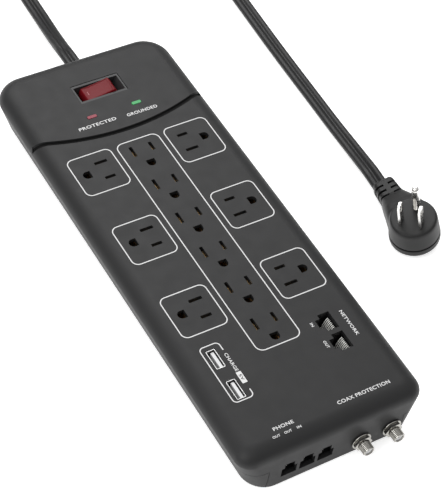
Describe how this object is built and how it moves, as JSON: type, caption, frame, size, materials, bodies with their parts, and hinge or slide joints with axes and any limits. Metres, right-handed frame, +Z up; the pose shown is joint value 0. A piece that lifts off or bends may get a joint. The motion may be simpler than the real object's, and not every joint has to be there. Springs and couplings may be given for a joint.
{
  "type": "surge protector power strip",
  "caption": "Flat black surge protector strip with grounded outlets, lighted rocker switch, USB, network, phone and coax jacks, and a flat cord with an angled plug",
  "frame": {"origin": "on the surface it rests on, under the middle of the strip's casing", "axes": "+Z up out of the outlets, +Y along the strip towards the switch and the cord, +X to the right when seen from above with +Y away"},
  "size_m": [0.2095, 0.5754, 0.0444],
  "materials": {
    "case": "fine satin",
    "moulding": "satin",
    "cord": "satin",
    "rocker": "polished, clear red",
    "light_red": "polished",
    "light_green": "polished",
    "brass": "plain",
    "steel": "zinc plated",
    "nickel": "nickel plated",
    "white": "smooth",
    "board": "solder mask",
    "varistor": "dipped"
  },
  "bodies": {
    "strip": {"base_cover": "case", "case_screw_1": "steel", "case_screw_2": "steel", "case_screw_3": "steel", "case_screw_4": "steel", "case_screw_5": "steel", "case_screw_6": "steel", "centre_ground_rail": "brass", "centre_line_rail": "brass", "centre_neutral_rail": "brass", "centre_rail_bed": "moulding", "coax_barrel_1": "nickel", "coax_barrel_2": "nickel", "coax_nut_1": "nickel", "coax_nut_2": "nickel", "coil_tie": "moulding", "cord_coil": "cord", "cord_gland": "cord", "cord_plug_end": "cord", "cord_strip_end": "cord", "left_ground_rail": "brass", "left_line_rail": "brass", "left_neutral_rail": "brass", "left_rail_bed": "moulding", "light_board": "board", "light_grounded": "light_green", "light_protected": "light_red", "network_contacts_in": "nickel", "network_contacts_out": "nickel", "network_jack_in": "moulding", "network_jack_out": "moulding", "phone_contacts_1": "brass", "phone_contacts_2": "brass", "phone_contacts_3": "brass", "phone_jacks": "moulding", "plug_blade_line": "nickel", "plug_blade_neutral": "nickel", "plug_body": "cord", "plug_ground_pin": "nickel", "right_ground_rail": "brass", "right_line_rail": "brass", "right_neutral_rail": "brass", "right_rail_bed": "moulding", "signal_board": "board", "surge_board": "board", "switch_housing": "moulding", "switch_terminal_1": "brass", "switch_terminal_2": "brass", "switch_terminal_3": "brass", "top_cover": "case", "usb_board": "board", "usb_shell_1": "nickel", "usb_shell_2": "nickel", "usb_tongue_1": "white", "usb_tongue_2": "white", "varistor_1": "varistor", "varistor_2": "varistor", "varistor_3": "varistor"},
    "rocker": {"switch_rocker": "rocker"}
  },
  "joints": [
    {"name": "switch_pivot", "type": "hinge", "parent": "strip", "child": "rocker", "pos_m": [0, 0.1238, 0.0284], "axis": [0, 1, 0], "range_deg": [0, 18]}
  ]
}
